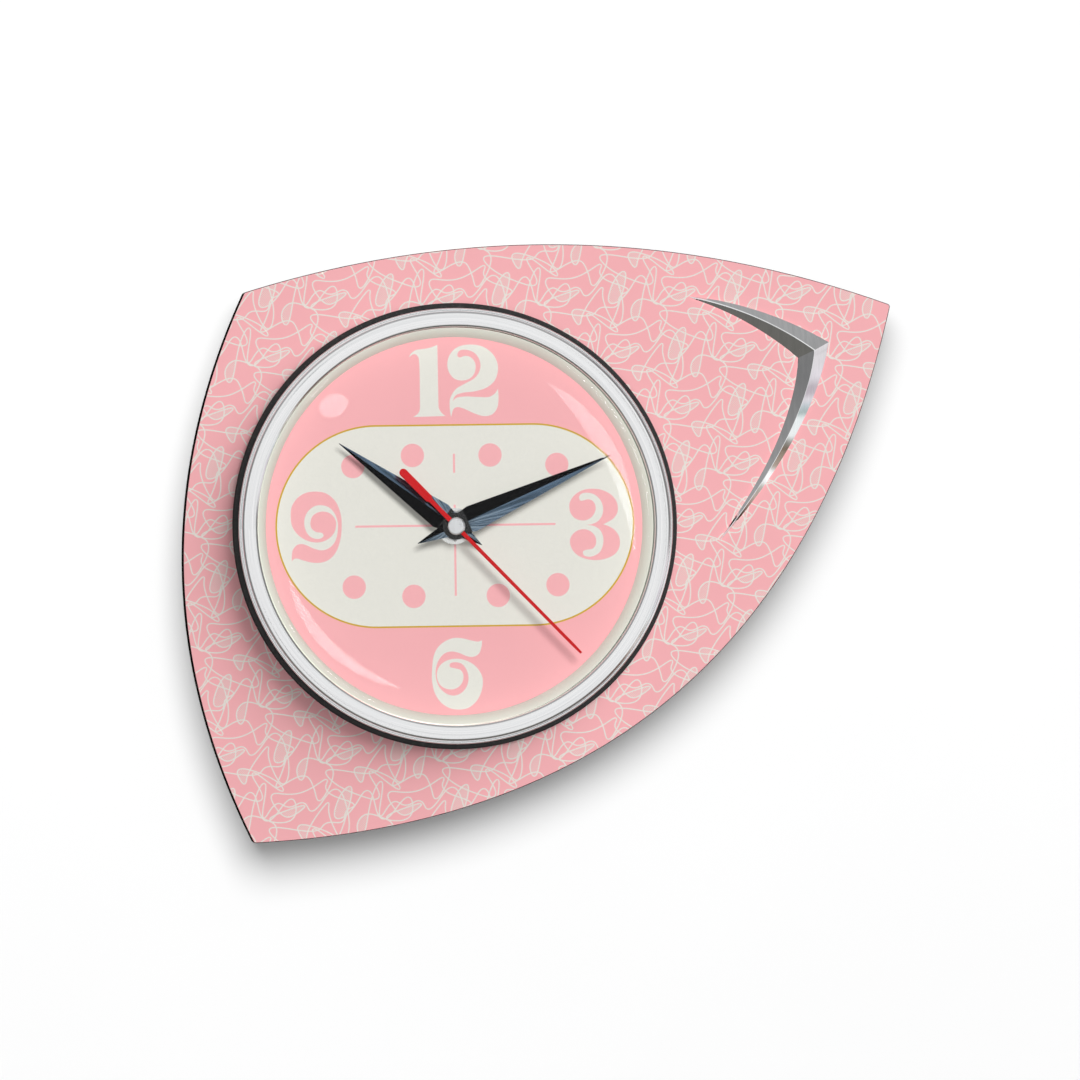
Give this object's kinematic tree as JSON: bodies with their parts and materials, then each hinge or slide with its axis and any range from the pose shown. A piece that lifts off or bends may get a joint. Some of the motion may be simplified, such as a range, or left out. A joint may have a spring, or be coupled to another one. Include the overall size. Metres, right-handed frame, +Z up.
{
  "type": "wall clock",
  "caption": "Boomerang-shaped laminate wall clock with a round chrome-rimmed quartz insert, domed glass, raised chrome boomerang trim and keyhole hanger.",
  "frame": {"origin": "on the hands' common axis, in the plane of the wall that the clock hangs on (the movement's rear cover touches it)", "axes": "+X to the right seen from the front, +Z up, -Y out of the wall towards the viewer"},
  "size_m": [0.2564, 0.0331, 0.2134],
  "materials": {
    "panel_board": "black-painted fibreboard, matt",
    "laminate": "pink printed laminate with a cream scribble pattern, satin gloss",
    "black_rubber": "moulded, satin black",
    "chrome": "polished plate",
    "glass": "clear, polished, low dome",
    "greige_plastic": "matt warm grey",
    "dial_print": "pink with printed cream panel, gold outline and numerals, satin",
    "black_plastic": "fine moulded texture",
    "white_plastic": "moulded natural white",
    "brass": "turned",
    "steel": "zinc-plated, rolled",
    "hand_black": "black lacquer, high gloss",
    "red_paint": "red lacquer, gloss",
    "copper_wire": "enamelled winding wire",
    "circuit": "green solder mask",
    "cell_sleeve": "plain shrink sleeve with metal ends",
    "timber": "planed softwood, unfinished",
    "felt": "pressed felt"
  },
  "bodies": {
    "clock_body": {"backing_board": "panel_board", "laminate_face": "laminate", "insert_case": "white_plastic", "gasket_ring": "black_rubber", "bezel_ring": "chrome", "lens": "glass", "dial_ring": "greige_plastic", "dial_plate": "dial_print", "ornament": "chrome", "push_nut_1": "steel", "push_nut_2": "steel", "movement_case": "black_plastic", "rear_cover": "black_plastic", "middle_plate": "white_plastic", "bush_nut": "brass", "bush_washer": "brass", "stator": "steel", "coil_core": "steel", "coil_winding": "copper_wire", "circuit_board": "circuit", "quartz_crystal": "steel", "contact_positive": "steel", "contact_negative": "steel", "hanger_block": "timber", "hanger_plate": "steel", "hanger_screw_1": "steel", "hanger_screw_2": "steel", "spacer_post_1": "timber", "spacer_post_2": "timber", "spacer_pad_1": "felt", "spacer_pad_2": "felt", "retainer_clip_1": "steel", "clip_screw_1": "steel", "retainer_clip_2": "steel", "clip_screw_2": "steel", "retainer_clip_3": "steel", "clip_screw_3": "steel", "retainer_clip_4": "steel", "clip_screw_4": "steel"},
    "seconds_arbor": {"seconds_wheel": "white_plastic", "second_hand": "red_paint", "second_hand_cap": "chrome"},
    "third_arbor": {"third_wheel": "white_plastic"},
    "centre_arbor": {"centre_wheel": "white_plastic"},
    "fifth_arbor": {"fifth_wheel": "white_plastic"},
    "rotor_arbor": {"rotor": "white_plastic", "rotor_magnet": "steel"},
    "minute_arbor": {"cannon_pinion": "brass", "minute_hand": "hand_black"},
    "minute_work": {"minute_wheel": "white_plastic"},
    "hour_arbor": {"hour_wheel": "white_plastic", "hour_hand": "hand_black"},
    "setting_shaft": {"setting_arbor": "white_plastic", "setting_knob": "white_plastic"},
    "battery": {"battery_cell": "cell_sleeve"}
  },
  "joints": [
    {"name": "seconds_spin", "type": "hinge", "parent": "clock_body", "child": "seconds_arbor", "pos_m": [0, -0.01, 0], "axis": [0, 1, 0], "continuous": true},
    {"name": "fifth_spin", "type": "hinge", "parent": "clock_body", "child": "fifth_arbor", "pos_m": [0.00642, -0.01, 0.00542], "axis": [0, 1, 0], "continuous": true},
    {"name": "rotor_spin", "type": "hinge", "parent": "clock_body", "child": "rotor_arbor", "pos_m": [0.01431, -0.01, 0.00831], "axis": [0, 1, 0], "continuous": true},
    {"name": "third_spin", "type": "hinge", "parent": "clock_body", "child": "third_arbor", "pos_m": [-0.00683, -0.01, 0.00974], "axis": [0, 1, 0], "continuous": true},
    {"name": "centre_spin", "type": "hinge", "parent": "clock_body", "child": "centre_arbor", "pos_m": [0, -0.01, 0], "axis": [0, 1, 0], "continuous": true},
    {"name": "minute_spin", "type": "hinge", "parent": "clock_body", "child": "minute_arbor", "pos_m": [0, -0.01, 0], "axis": [0, 1, 0], "continuous": true},
    {"name": "minute_work_spin", "type": "hinge", "parent": "clock_body", "child": "minute_work", "pos_m": [0.00693, -0.01, -0.004], "axis": [0, 1, 0], "continuous": true},
    {"name": "hour_spin", "type": "hinge", "parent": "clock_body", "child": "hour_arbor", "pos_m": [0, -0.01, 0], "axis": [0, 1, 0], "continuous": true},
    {"name": "setting_spin", "type": "hinge", "parent": "clock_body", "child": "setting_shaft", "pos_m": [0.01481, -0.01, -0.0026], "axis": [0, 1, 0], "continuous": true},
    {"name": "battery_slide", "type": "slide", "parent": "clock_body", "child": "battery", "axis": [0, 1, 0], "range_m": [0, 0.025]}
  ],
  "couplings": [
    {"joint": "fifth_spin", "follows": "seconds_spin", "ratio": -5},
    {"joint": "rotor_spin", "follows": "seconds_spin", "ratio": 30},
    {"joint": "third_spin", "follows": "seconds_spin", "ratio": -0.13333},
    {"joint": "centre_spin", "follows": "seconds_spin", "ratio": 0.016667},
    {"joint": "minute_work_spin", "follows": "minute_spin", "ratio": -0.33333},
    {"joint": "hour_spin", "follows": "minute_spin", "ratio": 0.083333},
    {"joint": "setting_spin", "follows": "minute_spin", "ratio": 1}
  ]
}
